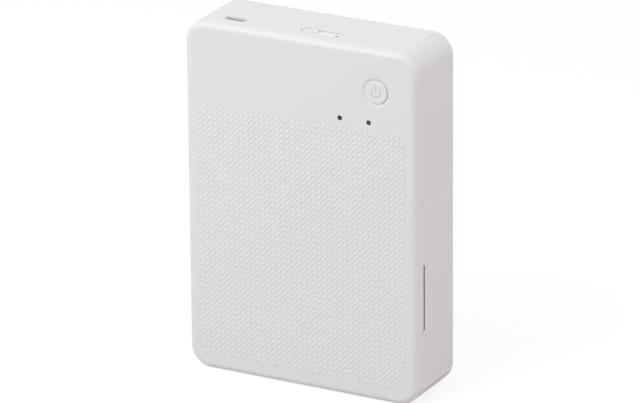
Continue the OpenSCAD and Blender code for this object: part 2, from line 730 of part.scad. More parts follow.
module supply_ribbon() { color([0.75, 0.6, 0.15]) wound(supply_at); }

// End of the line from a point to a roll that it touches, on the side s
function touch(p, c, r, s) = let (d = norm(c - p), a = bearing(p, c) + s * asin(r / d))
    p + polar(sqrt(d * d - r * r), a);
film_y = path_y + 0.05;
film_bend = 8.5;
film_t = 0.06;
film_path = [touch([platen_x + film_bend, film_y], supply_at, roll_r + 0.1, -1),
    [platen_x + film_bend, film_y], [platen_x - film_bend, film_y],
    touch([platen_x - film_bend, film_y], take_at, roll_r + 0.1, -1)];
function side_of(path, k, t) = let (n = len(path), a = path[max(k - 1, 0)], b = path[min(k + 1, n - 1)],
    u = (b - a) / norm(b - a)) path[k] + t * [-u.y, u.x];
module ribbon_film() {
    n = len(film_path);
    color([0.3, 0.12, 0.2]) translate([0, 0, sheet_z0 - 0.5]) linear_extrude(sheet_w + 1) polygon(concat(
        [for (k = [0:n - 1]) side_of(film_path, k, film_t / 2)],
        [for (k = [n - 1:-1:0]) side_of(film_path, k, -film_t / 2)]));
}
module tube(p, from, sweep) {
    translate([p.x, p.y, case_z0]) rotate([0, 0, from]) rotate_extrude(angle = sweep)
        translate([tube_r, 0]) square([tube_wall, case_z1 - case_z0]);
}
module ribbon_cassette() {
    color([0.3, 0.31, 0.33]) difference() {
        union() {
            tube(take_at, 40, 240);
            tube(supply_at, -90, 240);
            for (z = [case_z0, case_z1 - plate_t]) {
                for (p = [take_at, supply_at]) rod(p, tube_r + tube_wall / 2, z, z + plate_t);
                box([take_at.x, spool_y + 1.7, z], [supply_at.x, spool_y + 4.9, z + plate_t]);
            }
        }
        for (p = [take_at, supply_at]) rod(p, hub_r + running, case_z0 - cut, case_z1 + cut);
    }
}

// Print head on its swinging arm
arm_y = pivot_at.y + 2.9;
head_z0 = bay_z0 + 3;
head_z1 = bay_z1 - 3;
head_x0 = platen_x - 4.5;
head_x1 = platen_x + 5;
bead_r = 1.2;
head_y = path_y + 0.2 + bead_r + (pivot_at.x - platen_at.x) * sin(head_swing);
module head_pivot() { color(steel_grey) rod(pivot_at, pivot_r, floor_plate, bay_z1 + sheet_t); }
module head_arm() {
    color(sheet_grey) difference() {
        union() {
            box([platen_x - 7, arm_y - 1, head_z0], [pivot_at.x - 4.3, arm_y, head_z1]);
            for (z = [head_z0, head_z1 - 2]) {
                rod(pivot_at, 2.4, z, z + 2);
                box([pivot_at.x - 5, pivot_at.y - 1, z], [pivot_at.x, arm_y, z + 2]);
            }
        }
        rod(pivot_at, pivot_r + running, head_z0 - cut, head_z1 + cut);
    }
}
module head_heatsink() {
    color([0.78, 0.79, 0.8]) difference() {
        box([head_x0 - 1, head_y + 1, head_z0 + 0.5], [head_x1 + 1, arm_y - 1, head_z1 - 0.5]);
        for (k = [0:2], x = [head_x0 - 1, head_x1 + 1]) translate([0, head_y + 2.2 + k * 1.4, 0])
            box([x - 2, 0, head_z0], [x + 2, 0.7, head_z1]);
    }
}
module head_ceramic() {
    color([0.93, 0.92, 0.86]) {
        box([head_x0, head_y, head_z0 + 1], [head_x1, head_y + 1, head_z1 - 1]);
        intersection() {
            rod([platen_at.x, head_y], bead_r, head_z0 + 2, head_z1 - 2);
            box([head_x0, path_y - 2, head_z0], [head_x1, head_y + 0.2, head_z1]);
        }
    }
}

// One unbroken wire of six sides along points, closed at both ends
module wire(path, r) {
    n = len(path);
    function dir(k) = let (d = path[min(k + 1, n - 1)] - path[max(k - 1, 0)]) d / norm(d);
    rings = [for (k = [0:n - 1])
        let (t = dir(k), u = cross(t, [0, 0, 1]), v = u / max(norm(u), 0.01), w = cross(v, t))
        for (i = [0:5]) path[k] + r * (cos(60 * i) * v + sin(60 * i) * w)];
    polyhedron(rings, concat([[for (i = [0:5]) i]], [[for (i = [5:-1:0]) (n - 1) * 6 + i]],
        [for (k = [0:n - 2], i = [0:5]) let (j = (i + 1) % 6, a = k * 6)
            each [[a + i, a + 6 + j, a + j], [a + i, a + 6 + i, a + 6 + j]]]));
}
spring_wire = 0.25;
spring_turns = 4;
spring_pitch = 0.95;
coil_r = pivot_r + loose + spring_wire;
spring_leg = 3.5;
spring_path = concat([[spring_leg, coil_r, 0]], [for (k = [0:8 * spring_turns]) let (a = 90 + 45 * k)
    [coil_r * cos(a), coil_r * sin(a), spring_pitch * k / 8]],
    [[-spring_leg, coil_r, spring_pitch * spring_turns]]);
// Least gap between the wire and itself, over points more than half a turn apart
echo(spring_gap = min([for (i = [0:len(spring_path) - 6], j = [i + 5:1:len(spring_path) - 1])
    norm(spring_path[i] - spring_path[j])]) - 2 * spring_wire);
module head_springs() {
    color(steel_grey) for (z = [head_z0 + 2.6, head_z1 - 2.6 - spring_pitch * spring_turns])
        translate([pivot_at.x, pivot_at.y, z]) wire(spring_path, spring_wire);
}

// Guides of the paper path
module turn_guide() {
    inner = turn_r + 0.45;
    color(polymer_grey) {
        translate([turn_at.x, turn_at.y, bay_z0]) rotate([0, 0, 90]) rotate_extrude(angle = 180)
            translate([inner, 0]) square([1, bay_z1 - bay_z0]);
        box([turn_at.x - 0.01, turn_at.y - inner - 1, bay_z0],
            [feed_at.x - feed_r - 1, turn_at.y - inner, bay_z1]);
    }
}
module path_plate() {
    color(polymer_grey) box([feed_at.x + feed_r + 0.8, path_y - 1.45, bay_z0],
        [platen_at.x - platen_r - 0.6, path_y - 0.45, bay_z1]);
}
module exit_guide() {
    start = [platen_at.x + platen_r + 1.2, path_y - 1.1];
    end = [inner_x - 0.9, exit_y - 0.45];
    color(polymer_grey) translate([0, 0, bay_z0]) linear_extrude(bay_z1 - bay_z0)
        polygon([start, end, end - [0, 0.8], start - [0, 0.8]]);
}

// Paper, its tray in the cover and the plate that presses it forward
tray_t = 1.2;
module paper_tray() {
    color(polymer_grey) for (s = [0, 1]) translate([0, 0, bay_mid]) mirror([0, 0, s]) {
        box([stack_x0, stack_y - 0.9, sheet_w / 2 + loose],
            [stack_x1 + tray_t + loose, inner_back, sheet_w / 2 + tray_t + loose]);
        box([stack_x0, stack_y - 0.9, sheet_w / 2 - 2],
            [stack_x1 + tray_t + loose, stack_y - loose, sheet_w / 2 + tray_t]);
        box([stack_x1 + loose, stack_y - 0.9, -0.01],
            [stack_x1 + tray_t + loose, inner_back, sheet_w / 2 + tray_t]);
    }
}
module paper_stack() {
    color([0.97, 0.97, 0.96])
        box([stack_x0, stack_y, sheet_z0], [stack_x1, stack_y + stack_t, sheet_z0 + sheet_w]);
}
plate_y = inner_back - 2.35;
plate_thick = 0.6;
stack_mid = (stack_x0 + stack_x1) / 2;
module pressure_plate() {
    color([0.72, 0.73, 0.75]) difference() {
        box([stack_x0 + 4, plate_y, sheet_z0 + 5],
            [stack_x1 - 4, plate_y + plate_thick, sheet_z0 + sheet_w - 5]);
        for (k = [-1, 0, 1]) along_y(stack_mid + k * 24, bay_mid, plate_y - cut, plate_y + 2) circle(5);
    }
}
leaf_t = 0.2;
leaf_h = inner_back - plate_y - plate_thick;
leaf_half = 9;
leaf_w = 12;
module pressure_springs() {
    rise = leaf_h - leaf_t;
    r = (leaf_half * leaf_half + rise * rise) / (2 * rise);
    color(steel_grey) for (x = [-21, 21])
        translate([stack_mid + x, plate_y + plate_thick + r, bay_mid - leaf_w / 2]) intersection() {
            difference() {
                cylinder(r = r, h = leaf_w, $fn = 256);
                translate([0, 0, -cut]) cylinder(r = r - leaf_t, h = leaf_w + 2 * cut, $fn = 256);
            }
            box([-leaf_half, -r - cut, 0], [leaf_half, -r + leaf_h, leaf_w]);
        }
}

front_shell();
back_rim();
rear_cover();
rubber_feet();
hinge_pins();
inner_frame();
frame_screws();
cover_lock();
lock_bracket();
power_button();
switch_plunger();
button_switch();
light_pipes();
indicator_lamps();
main_board();
usb_socket();
board_shield();
radio_module();
board_connectors();
battery_pack();
head_cable();
chassis();
shaft_bushes();
gear_studs();
gear_plate();
drive_motor();
motor_shaft();
motor_pinion();
reduction_gear();
idler_gear_a();
idler_gear_b();
platen_shaft();
platen_rubber();
platen_gear();
feed_roller();
feed_gear();
pinch_roller();
pickup_shaft();
pickup_tyres();
pickup_gear();
take_up_spool();
take_up_ribbon();
take_up_gear();
supply_spool();
supply_ribbon();
ribbon_film();
ribbon_cassette();
head_pivot();
head_arm();
head_heatsink();
head_ceramic();
head_springs();
turn_guide();
path_plate();
exit_guide();
paper_tray();
paper_stack();
pressure_plate();
pressure_springs();
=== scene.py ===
# A compact photo printer that stands on its narrow end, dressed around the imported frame.
# Metres. +X right and +Z up as seen from the front, -Y towards the viewer.
import math

import bmesh
import bpy
from mathutils import Matrix, Vector


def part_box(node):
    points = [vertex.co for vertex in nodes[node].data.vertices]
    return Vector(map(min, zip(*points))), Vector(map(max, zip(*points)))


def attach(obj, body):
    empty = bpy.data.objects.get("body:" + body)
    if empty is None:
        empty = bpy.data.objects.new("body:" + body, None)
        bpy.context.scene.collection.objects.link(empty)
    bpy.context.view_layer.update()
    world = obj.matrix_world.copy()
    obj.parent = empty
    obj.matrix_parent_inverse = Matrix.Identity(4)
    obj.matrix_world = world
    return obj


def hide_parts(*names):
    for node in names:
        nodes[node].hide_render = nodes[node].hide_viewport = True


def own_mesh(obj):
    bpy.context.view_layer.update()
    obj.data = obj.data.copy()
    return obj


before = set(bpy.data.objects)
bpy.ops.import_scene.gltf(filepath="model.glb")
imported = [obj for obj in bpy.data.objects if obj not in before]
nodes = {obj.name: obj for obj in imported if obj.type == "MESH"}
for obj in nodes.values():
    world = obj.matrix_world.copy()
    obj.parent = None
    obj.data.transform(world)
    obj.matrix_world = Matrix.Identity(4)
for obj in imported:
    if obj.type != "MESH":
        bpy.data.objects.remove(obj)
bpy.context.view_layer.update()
scene = bpy.context.scene
MM = 0.001

# ---------------------------------------------------------------- viewpoint
# A long lens, a little above the printer and to the right of its front, so that
# the printer fills the height of the picture.
azimuth, elevation, roll = (math.radians(a) for a in (28.2903, 20.4729, -0.4665))
lens, sensor, far_limit = 321.7, 36.0, 20.0
distance, aim_across, aim_up = 2249.5 * MM, -0.1468 * MM, -0.093 * MM
middle = Vector((0, -0.05 * MM, 72.9 * MM))
away = Vector((math.sin(azimuth) * math.cos(elevation), -math.cos(azimuth) * math.cos(elevation),
    math.sin(elevation)))
level = Vector((math.cos(azimuth), math.sin(azimuth), 0))
upright = away.cross(level)
across = math.cos(roll) * level + math.sin(roll) * upright
upwards = -math.sin(roll) * level + math.cos(roll) * upright
eye = bpy.data.cameras.new("viewpoint")
eye.sensor_fit, eye.sensor_width, eye.lens, eye.clip_end = "HORIZONTAL", sensor, lens, far_limit
camera = bpy.data.objects.new("viewpoint", eye)
stand = middle + aim_across * across + aim_up * upwards + distance * away
camera.matrix_world = Matrix.Translation(stand) @ Matrix((across, upwards, away)).transposed().to_4x4()
scene.collection.objects.link(camera)
scene.camera = camera
scene.view_settings.view_transform = "Standard"

# ---------------------------------------------------------------- studio
# A white sky that lights evenly, three soft lamps, above the front and at either
# side, and a pale floor that shows almost white but keeps the printer's shadow.
SKY, SKY_SHOWN = 0.685, 1.0
WHITE = (1, 1, 1, 1)
SKY_COLOUR = (1.0, 0.975, 0.973, 1)
FLOOR_COLOUR = (0.735, 0.69, 0.7, 1)
FLOOR_SHOWN, FLOOR_GLOW = (0.26, 0.26, 0.26, 1), 0.79
FLOOR_REACH, FLOOR_DROP = 12.0, 0.01 * MM
COOL, ROSY = (0.93, 1.0, 0.98), (1.0, 0.94, 1.0)


def node(tree, kind, inputs=None, **settings):
    """One node of a tree, with its settings, and its inputs as values or as links from sockets."""
    made = tree.nodes.new(kind)
    for name, value in settings.items():
        setattr(made, name, value)
    for name, value in (inputs or {}).items():
        if isinstance(value, bpy.types.NodeSocket):
            tree.links.new(value, made.inputs[name])
        else:
            made.inputs[name].default_value = value
    return made


def maths(tree, operation, *values):
    """The result of one Math node on values or sockets."""
    return node(tree, "ShaderNodeMath", dict(enumerate(values)), operation=operation).outputs[0]


sky = bpy.data.worlds.new("white_sky")
sky.use_nodes = True
sky.node_tree.nodes.clear()
ray = node(sky.node_tree, "ShaderNodeLightPath")
seen = maths(sky.node_tree, "MAXIMUM", ray.outputs["Is Camera Ray"], ray.outputs["Is Glossy Ray"])
seen = maths(sky.node_tree, "MAXIMUM", seen, ray.outputs["Is Transmission Ray"])
lit = node(sky.node_tree, "ShaderNodeBackground", {"Color": SKY_COLOUR, "Strength": SKY})
shown = node(sky.node_tree, "ShaderNodeBackground", {"Color": WHITE, "Strength": SKY_SHOWN})
mixed = node(sky.node_tree, "ShaderNodeMixShader", {0: seen, 1: lit.outputs[0], 2: shown.outputs[0]})
node(sky.node_tree, "ShaderNodeOutputWorld", {"Surface": mixed.outputs[0]})
scene.world = sky

for name, place, watts, width, colour in (("lamp_above", (-0.14, -0.42, 0.56), 1.34, 0.32, COOL),
        ("lamp_left", (-0.6, -0.4, 0.45), 0.85, 0.5, COOL), ("lamp_right", (0.3, 0.05, 0.24), 0.13, 0.2, ROSY)):
    lamp = bpy.data.lights.new(name, "AREA")
    lamp.energy, lamp.size, lamp.color = watts, width, colour
    shade = bpy.data.objects.new(name, lamp)
    shade.location = place
    shade.rotation_euler = (Vector(place) - middle).to_track_quat("Z", "Y").to_euler()
    scene.collection.objects.link(shade)

floor_finish = bpy.data.materials.new("pale_floor")
floor_finish.use_nodes = True
tree = floor_finish.node_tree
tree.nodes.clear()
ray = node(tree, "ShaderNodeLightPath")
pale = node(tree, "ShaderNodeBsdfDiffuse", {"Color": FLOOR_COLOUR})
dim = node(tree, "ShaderNodeBsdfDiffuse", {"Color": FLOOR_SHOWN})
glow = node(tree, "ShaderNodeEmission", {"Color": WHITE, "Strength": FLOOR_GLOW})
bright = node(tree, "ShaderNodeAddShader", {0: dim.outputs[0], 1: glow.outputs[0]})
mixed = node(tree, "ShaderNodeMixShader", {0: ray.outputs["Is Camera Ray"], 1: pale.outputs[0],
    2: bright.outputs[0]})
node(tree, "ShaderNodeOutputMaterial", {"Surface": mixed.outputs[0]})
sheet = bpy.data.meshes.new("floor")
sheet.from_pydata([(x * FLOOR_REACH, y * FLOOR_REACH, 0) for x, y in ((-1, -1), (1, -1), (1, 1), (-1, 1))], [],
    [(0, 1, 2, 3)])
sheet.materials.append(floor_finish)
floor = bpy.data.objects.new("floor", sheet)
floor.location.z = -FLOOR_DROP
scene.collection.objects.link(floor)

# ---------------------------------------------------------------- casing
# Three mouldings in off-white plastic with a fine satin grain: the front shell,
# the rim of the back, and the rear cover that swings on pins at the left.
CASING = (0.785, 0.79, 0.78, 1)
CASING_GLOSS = 0.36
FINE_SHARE = 0.4


def surface_group():
    """Mottled colour, uneven gloss and a fine grain, from the object's own coordinates."""
    tree = bpy.data.node_groups.new("Surface grain", "ShaderNodeTree")
    for name, kind, value in (("Colour", "Color", (0.8, 0.8, 0.8, 1)), ("Mottle", "Float", 0.03),
            ("Patch Scale", "Float", 25.0), ("Grain Scale", "Float", 2500.0), ("Stretch", "Vector", (1, 1, 1)),
            ("Roughness", "Float", 0.5), ("Gloss Spread", "Float", 0.05)):
        tree.interface.new_socket(name, in_out="INPUT", socket_type="NodeSocket" + kind).default_value = value
    for name, kind in (("Colour", "Color"), ("Roughness", "Float"), ("Height", "Float")):
        tree.interface.new_socket(name, in_out="OUTPUT", socket_type="NodeSocket" + kind)
    given = node(tree, "NodeGroupInput").outputs
    place = node(tree, "ShaderNodeTexCoord").outputs["Object"]
    drawn = node(tree, "ShaderNodeVectorMath", {0: place, 1: given["Stretch"]}, operation="MULTIPLY").outputs[0]
    patch = node(tree, "ShaderNodeTexNoise", {"Vector": drawn, "Scale": given["Patch Scale"], "Detail": 3.0})
    grain = node(tree, "ShaderNodeTexNoise", {"Vector": drawn, "Scale": given["Grain Scale"], "Detail": 2.0})
    centred = maths(tree, "SUBTRACT", patch.outputs["Fac"], 0.5)
    fine = maths(tree, "SUBTRACT", grain.outputs["Fac"], 0.5)
    uneven = maths(tree, "MULTIPLY_ADD", fine, FINE_SHARE, centred)
    shade = maths(tree, "MULTIPLY_ADD", uneven, given["Mottle"], 1.0)
    tint = node(tree, "ShaderNodeVectorMath", {0: given["Colour"], "Scale": shade}, operation="SCALE")
    gloss = maths(tree, "MULTIPLY_ADD", uneven, given["Gloss Spread"], given["Roughness"])
    node(tree, "NodeGroupOutput", {"Colour": tint.outputs[0], "Roughness": gloss,
        "Height": grain.outputs["Fac"]})
    return tree


surface_grain = surface_group()


def finish(name, colour, roughness, mottle=0.04, patch=25.0, grain=2500.0, depth=0.006, stretch=(1, 1, 1),
        spread=0.12, tint=None, **sockets):
    """A material on the shared grain. Depth is in millimetres; tint draws on the grained colour."""
    made = bpy.data.materials.new(name)
    made.use_nodes = True
    tree = made.node_tree
    tree.nodes.clear()
    grained = node(tree, "ShaderNodeGroup", node_tree=surface_grain)
    for label, value in (("Colour", colour), ("Mottle", mottle), ("Patch Scale", patch), ("Grain Scale", grain),
            ("Stretch", stretch), ("Roughness", roughness), ("Gloss Spread", spread)):
        grained.inputs[label].default_value = value
    shade = tint(tree, grained.outputs["Colour"]) if tint else grained.outputs["Colour"]
    bump = node(tree, "ShaderNodeBump", {"Height": grained.outputs["Height"], "Strength": 1.0,
        "Distance": depth * MM})
    shader = node(tree, "ShaderNodeBsdfPrincipled", {"Base Color": shade,
        "Roughness": grained.outputs["Roughness"], "Normal": bump.outputs["Normal"]})
    for label, value in sockets.items():
        shader.inputs[label.replace("_", " ")].default_value = value
    node(tree, "ShaderNodeOutputMaterial", {"Surface": shader.outputs[0]})
    return made


def dress(material, *names):
    """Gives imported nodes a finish."""
    for name in names:
        for place in nodes[name].material_slots:
            place.material = material


casing_plastic = finish("casing_plastic", CASING, CASING_GLOSS, mottle=0.02, patch=18.0, grain=3200.0,
    depth=0.004)
dress(casing_plastic, "front_shell", "back_rim", "rear_cover")
shell_low, shell_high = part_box("front_shell")
front_y, roof = shell_low.y, shell_high.z

# ---------------------------------------------------------------- seam lips
# Narrow lips that close the seams from inside, a little below the surface; they are moulded
# on the fixed half, so the cover clears them. Their paler colour is a painted highlight.
SEAM, BAND, PANEL_TOP = 0.4 * MM, 3.35 * MM, 81.9 * MM
TOP_SEAM, STRIP_LEFT, STRIP_RIGHT = 17.7 * MM, -31.0 * MM, 43.0 * MM
HINGE_X, HINGE_Y = -46.0 * MM, 13.7 * MM
LIP_WIDTH, LIP_SUNK, LIP_DEEP = 0.32 * MM, 0.06 * MM, 0.9 * MM
SIDE_LIP_WIDTH, SIDE_LIP_SUNK = 0.36 * MM, 0.02 * MM
LIP_END = 1.9 * MM
ARC_STEPS = 8
cover_low, cover_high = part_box("rear_cover")
# Paler than the casing: painted highlight, the light that the seam edges catch.
lip_plastic = finish("lip_plastic", (0.95, 0.94, 0.93, 1), 0.5, mottle=0.02, depth=0.004)


def settle(name, mesh, material, body):
    """Makes a piece of a finished mesh, and lets it ride on a body."""
    data = bpy.data.meshes.new(name)
    mesh.to_mesh(data)
    mesh.free()
    data.materials.append(material)
    made = bpy.data.objects.new(name, data)
    scene.collection.objects.link(made)
    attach(made, body)


def strip(name, corners, material, body="printer"):
    """Straight bars, one for each pair of end sections given as lists of corners."""
    mesh = bmesh.new()
    for first, last in corners:
        start = [mesh.verts.new(place) for place in first]
        end = [mesh.verts.new(place) for place in last]
        mesh.faces.new(list(reversed(start)))
        mesh.faces.new(end)
        for k in range(len(start)):
            j = (k + 1) % len(start)
            mesh.faces.new((start[k], start[j], end[j], end[k]))
    bmesh.ops.recalc_face_normals(mesh, faces=mesh.faces)
    settle(name, mesh, material, body)


def side_section(y, z, along_y):
    """Section of a lip in the right side: its width runs along Y or along Z."""
    outer = shell_high.x - SIDE_LIP_SUNK
    inner, w = outer - LIP_DEEP, SIDE_LIP_WIDTH / 2
    if along_y:
        return [(inner, y - w, z), (inner, y + w, z), (outer, y + w, z), (outer, y - w, z)]
    return [(inner, y, z - w), (inner, y, z + w), (outer, y, z + w), (outer, y, z - w)]


def top_section(x, y, across):
    """Section of a lip in the top: the width runs along the given flat direction."""
    outer = Vector((x, y, roof - LIP_SUNK))
    inner = outer - Vector((0, 0, LIP_DEEP))
    w = Vector((across[0], across[1], 0)).normalized() * LIP_WIDTH / 2
    return [inner - w, inner + w, outer + w, outer - w]


seam_y = front_y + BAND + SEAM / 2
low_z, high_z = cover_low.z - SEAM / 2, PANEL_TOP + SEAM / 2
back_end = cover_high.y - LIP_END
strip("side_seam_lip", [(side_section(seam_y, low_z, True), side_section(seam_y, high_z, True)),
    (side_section(seam_y, high_z, False), side_section(back_end, high_z, False)),
    (side_section(seam_y, low_z, False), side_section(back_end, low_z, False))], lip_plastic)
top_y = front_y + TOP_SEAM - SEAM / 2
arc_radius = math.hypot(STRIP_RIGHT - HINGE_X, top_y + SEAM / 2 - HINGE_Y) + SEAM / 2
arc_start = math.atan2(top_y - HINGE_Y, math.sqrt(arc_radius ** 2 - (top_y - HINGE_Y) ** 2))
arc_end = math.atan2(back_end - HINGE_Y, arc_radius)
turns = [arc_start + (arc_end - arc_start) * k / ARC_STEPS for k in range(ARC_STEPS + 1)]
arc = [(HINGE_X + arc_radius * math.cos(a), HINGE_Y + arc_radius * math.sin(a), (math.cos(a), math.sin(a)))
    for a in turns]
left_x = STRIP_LEFT - SEAM / 2
strip("top_seam_lip", [(top_section(left_x, top_y, (0, 1)), top_section(arc[0][0], top_y, (0, 1))),
    (top_section(left_x, top_y, (1, 0)), top_section(left_x, back_end, (1, 0)))] +
    [(top_section(*a), top_section(*b)) for a, b in zip(arc, arc[1:])], lip_plastic)

# ---------------------------------------------------------------- finger notch
# A black strip in the slit at the back of the notch, where a fingernail catches the side
# panel to pull the cover open, is painted shade; a pale lip runs in front of it, a painted highlight.
NOTCH_FOOT, NOTCH_TOP, NOTCH_BACK = 31.35 * MM, 58.35 * MM, 2.05 * MM
SLIT, PLAY = 0.6 * MM, 0.02 * MM
SHADE_STRIP_WIDTH, SHADE_STRIP_SUNK, SLIT_STRIP_DEEP, SLIT_STRIP_ROUND = 0.28 * MM, 0.05 * MM, 1.1 * MM, 0.08 * MM
NOTCH_LIP_SUNK = 0.3 * MM
# Black painted shade: the dark of the slit, put in as a strip.
black_foam = finish("black_foam", (0.02, 0.017, 0.014, 1), 0.8, mottle=0.2, patch=300.0, depth=0.01)
slit_y = front_y + BAND + SEAM + NOTCH_BACK


def slit_section(z, near, far, sunk):
    """Section of a strip in the slit, with its outer front edge worn round."""
    outer = cover_high.x - sunk
    return [(outer - SLIT_STRIP_DEEP, near, z), (outer - SLIT_STRIP_DEEP, far, z), (outer, far, z),
        (outer, near + SLIT_STRIP_ROUND, z), (outer - SLIT_STRIP_ROUND, near, z)]


shade_strip_back = slit_y + SLIT - PLAY
for name, near, far, sunk, slot, material in (
        ("notch_foam", shade_strip_back - SHADE_STRIP_WIDTH, shade_strip_back, SHADE_STRIP_SUNK, "control", black_foam),
        ("notch_lip", slit_y + PLAY, shade_strip_back - SHADE_STRIP_WIDTH - PLAY, NOTCH_LIP_SUNK, "casing", lip_plastic)):
    strip(name, [(slit_section(NOTCH_FOOT, near, far, sunk), slit_section(NOTCH_TOP, near, far, sunk))],
        material, "cover")

# ---------------------------------------------------------------- wave relief
# Fine raised waves, moulded into the lower part of the face. Each runs in flat
# steps and steep rises from lower left to upper right, in a field with round corners.
CELL = (2.29 * MM, 2.288 * MM)
FIELD = (89.9 * MM, 103.5 * MM)
FIELD_MIDDLE = (-0.15 * MM, 59.1 * MM)
FIELD_CORNER = 2.3 * MM
RIDGE_FOOT, RIDGE_CREST, RIDGE_RISE, RIDGE_ROOT = 0.96 * MM, 0.28 * MM, 0.142 * MM, 0.05 * MM
COLUMNS, ROWS, STEP_POINTS = 40, 48, 10
CROWDING, LEVEL, BEND = 0.2, 0.235, 0.09


def wave_tree():
    """One wave step on every lattice point inside a field with round corners."""
    tree = bpy.data.node_groups.new("Wave relief", "GeometryNodeTree")
    sizes = (("Columns", "Int", COLUMNS), ("Rows", "Int", ROWS), ("Cell Width", "Float", CELL[0]),
        ("Cell Height", "Float", CELL[1]), ("Half Width", "Float", FIELD[0] / 2),
        ("Half Height", "Float", FIELD[1] / 2), ("Corner", "Float", FIELD_CORNER),
        ("Foot", "Float", RIDGE_FOOT), ("Crest", "Float", RIDGE_CREST), ("Rise", "Float", RIDGE_RISE),
        ("Root", "Float", RIDGE_ROOT), ("Points", "Int", STEP_POINTS), ("Crowding", "Float", CROWDING),
        ("Level", "Float", LEVEL), ("Bend", "Float", BEND), ("Place", "Vector", (0, 0, 0)),
        ("Finish", "Material", None))
    for name, kind, value in sizes:
        socket = tree.interface.new_socket(name, in_out="INPUT", socket_type="NodeSocket" + kind)
        if value is not None:
            socket.default_value = value
    tree.interface.new_socket("Geometry", in_out="OUTPUT", socket_type="NodeSocketGeometry")
    given = node(tree, "NodeGroupInput").outputs

    def triple(x, y, z):
        return node(tree, "ShaderNodeCombineXYZ", {0: x, 1: y, 2: z}).outputs[0]

    wide = maths(tree, "MULTIPLY", maths(tree, "SUBTRACT", given["Columns"], 1.0), given["Cell Width"])
    tall = maths(tree, "MULTIPLY", maths(tree, "SUBTRACT", given["Rows"], 1.0), given["Cell Height"])
    lattice = node(tree, "GeometryNodeMeshGrid", {"Size X": wide, "Size Y": tall,
        "Vertices X": given["Columns"], "Vertices Y": given["Rows"]}).outputs["Mesh"]
    place = node(tree, "GeometryNodeInputPosition").outputs[0]
    reach = node(tree, "ShaderNodeVectorMath", {0: place}, operation="ABSOLUTE").outputs[0]
    flat = triple(maths(tree, "SUBTRACT", given["Half Width"], given["Corner"]),
        maths(tree, "SUBTRACT", given["Half Height"], given["Corner"]), 0.0)
    past = node(tree, "ShaderNodeVectorMath", {0: reach, 1: flat}, operation="SUBTRACT").outputs[0]
    past = node(tree, "ShaderNodeVectorMath", {0: past, 1: (0, 0, 0)}, operation="MAXIMUM").outputs[0]
    length = node(tree, "ShaderNodeVectorMath", {0: past}, operation="LENGTH").outputs["Value"]
    inside = maths(tree, "LESS_THAN", length, given["Corner"])
    line = node(tree, "GeometryNodeCurvePrimitiveLine", {"Start": (-0.5, 0, 0), "End": (0.5, 0, 0)})
    line = line.outputs["Curve"]
    line = node(tree, "GeometryNodeResampleCurve", {"Curve": line, "Count": given["Points"]}).outputs["Curve"]
    line = node(tree, "GeometryNodeSetCurveNormal", {"Curve": line}, mode="Z_UP").outputs[0]
    height = maths(tree, "ADD", given["Rise"], given["Root"])
    section = node(tree, "GeometryNodeCurvePrimitiveQuadrilateral", {"Height": height,
        "Bottom Width": given["Crest"], "Top Width": given["Foot"], "Offset": 0.0}, mode="TRAPEZOID")
    section = section.outputs["Curve"]
    lift = maths(tree, "SUBTRACT", maths(tree, "MULTIPLY", height, 0.5), given["Rise"])
    section = node(tree, "GeometryNodeTransform", {"Geometry": section, "Translation": triple(0.0, lift, 0.0)})
    ridge = node(tree, "GeometryNodeCurveToMesh", {"Curve": line, "Profile Curve": section.outputs[0],
        "Fill Caps": True}).outputs[0]
    start = node(tree, "ShaderNodeSeparateXYZ", {0: place}).outputs
    swing = maths(tree, "DIVIDE", maths(tree, "SINE", maths(tree, "MULTIPLY", start["X"], math.tau)), math.tau)
    run = maths(tree, "MULTIPLY_ADD", swing, given["Crowding"], start["X"])
    far = maths(tree, "ABSOLUTE", run)
    past = maths(tree, "SMOOTH_MAX", maths(tree, "SUBTRACT", far, given["Level"]), 0.0, given["Bend"])
    steep = maths(tree, "DIVIDE", 0.5, maths(tree, "SUBTRACT", 0.5, given["Level"]))
    climb = maths(tree, "MULTIPLY", maths(tree, "MULTIPLY", past, steep), maths(tree, "SIGN", run))
    slant = maths(tree, "SQRT", maths(tree, "MULTIPLY_ADD", steep, steep, 1.0))
    wider = node(tree, "ShaderNodeMapRange", {"Value": far, "To Min": 1.0, "To Max": slant,
        "From Min": maths(tree, "SUBTRACT", given["Level"], given["Bend"]),
        "From Max": maths(tree, "ADD", given["Level"], given["Bend"])},
        interpolation_type="SMOOTHSTEP").outputs["Result"]
    side = maths(tree, "MULTIPLY", start["Y"], wider)
    stepped = triple(maths(tree, "MULTIPLY", run, given["Cell Width"]),
        maths(tree, "MULTIPLY_ADD", climb, given["Cell Height"], side), start["Z"])
    ridge = node(tree, "GeometryNodeSetPosition", {"Geometry": ridge, "Position": stepped}).outputs[0]
    ridge = node(tree, "GeometryNodeSetShadeSmooth", {"Geometry": ridge, "Shade Smooth": False}).outputs[0]
    ridges = node(tree, "GeometryNodeInstanceOnPoints", {"Points": lattice, "Selection": inside,
        "Instance": ridge}).outputs[0]
    ridges = node(tree, "GeometryNodeTransform", {"Geometry": ridges, "Translation": given["Place"],
        "Rotation": (math.pi / 2, 0, 0)}).outputs[0]
    ridges = node(tree, "GeometryNodeRealizeInstances", {"Geometry": ridges}).outputs[0]
    ridges = node(tree, "GeometryNodeSetMaterial", {"Geometry": ridges, "Material": given["Finish"]}).outputs[0]
    node(tree, "NodeGroupOutput", {"Geometry": ridges})
    return tree


